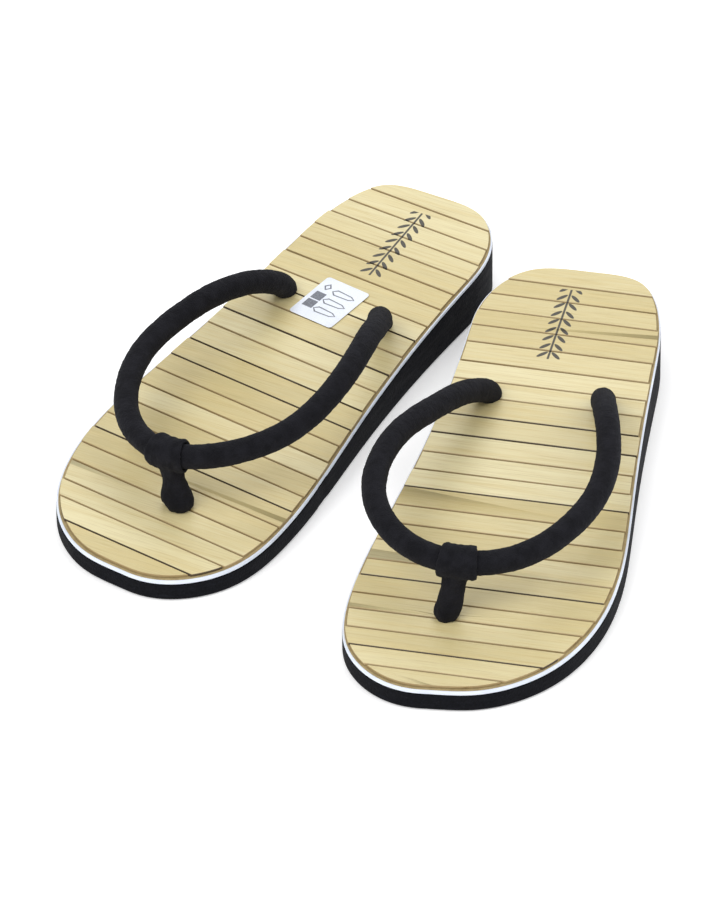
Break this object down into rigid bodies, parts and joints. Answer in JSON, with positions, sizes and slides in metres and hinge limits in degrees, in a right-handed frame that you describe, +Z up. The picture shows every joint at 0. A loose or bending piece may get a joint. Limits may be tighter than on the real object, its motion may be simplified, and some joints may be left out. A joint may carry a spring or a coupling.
{
  "type": "thong slippers",
  "caption": "Pair of spa thong slippers with bamboo slat insoles, white foam sheets, black foam wedge soles and padded black straps held by a toe post.",
  "frame": {"origin": "centre of the pair's bounding box, on the plane that both soles stand on", "axes": "+Z up, toes pointing roughly towards -Y, left-foot slipper on the +X side"},
  "size_m": [0.237, 0.3182, 0.0534],
  "materials": {
    "bamboo": "satin",
    "backing_cloth": "matte",
    "white_foam": "matte",
    "black_foam": "matte",
    "black_velour": "matte",
    "cord": "matte",
    "plug_rubber": "satin",
    "label_paper": "satin"
  },
  "bodies": {
    "right_rear": {"right_outsole_rear": "black_foam", "right_foam_rear": "white_foam", "right_backing_rear": "backing_cloth", "right_slats_rear": "bamboo", "right_strap_cover": "black_velour", "right_strap_core": "cord", "right_side_plugs": "plug_rubber", "size_label": "label_paper"},
    "right_forefoot": {"right_outsole_forefoot": "black_foam", "right_foam_forefoot": "white_foam", "right_backing_forefoot": "backing_cloth", "right_slats_forefoot": "bamboo", "right_toe_post_cover": "black_velour", "right_toe_post_core": "cord", "right_toe_plug": "plug_rubber"},
    "left_rear": {"left_outsole_rear": "black_foam", "left_foam_rear": "white_foam", "left_backing_rear": "backing_cloth", "left_slats_rear": "bamboo", "left_strap_cover": "black_velour", "left_strap_core": "cord", "left_side_plugs": "plug_rubber"},
    "left_forefoot": {"left_outsole_forefoot": "black_foam", "left_foam_forefoot": "white_foam", "left_backing_forefoot": "backing_cloth", "left_slats_forefoot": "bamboo", "left_toe_post_cover": "black_velour", "left_toe_post_core": "cord", "left_toe_plug": "plug_rubber"}
  },
  "joints": [
    {"name": "right_forefoot_flex", "type": "hinge", "parent": "right_rear", "child": "right_forefoot", "pos_m": [-0.05128, -0.00274, 0.01413], "axis": [-0.7998, 0.6003, 0], "range_deg": [0, 40], "stiffness_Nm_per_rad": 1.2, "deforming": ["right_strap_cover", "right_strap_core"]},
    {"name": "left_forefoot_flex", "type": "hinge", "parent": "left_rear", "child": "left_forefoot", "pos_m": [0.0453, -0.07606, 0.01356], "axis": [-0.9742, 0.2258, 0], "range_deg": [0, 40], "stiffness_Nm_per_rad": 1.2, "deforming": ["left_strap_cover", "left_strap_core"]},
    {"name": "left_slipper_lift", "type": "slide", "parent": "right_rear", "child": "left_rear", "axis": [0, 0, 1], "range_m": [0, 0.12]}
  ]
}
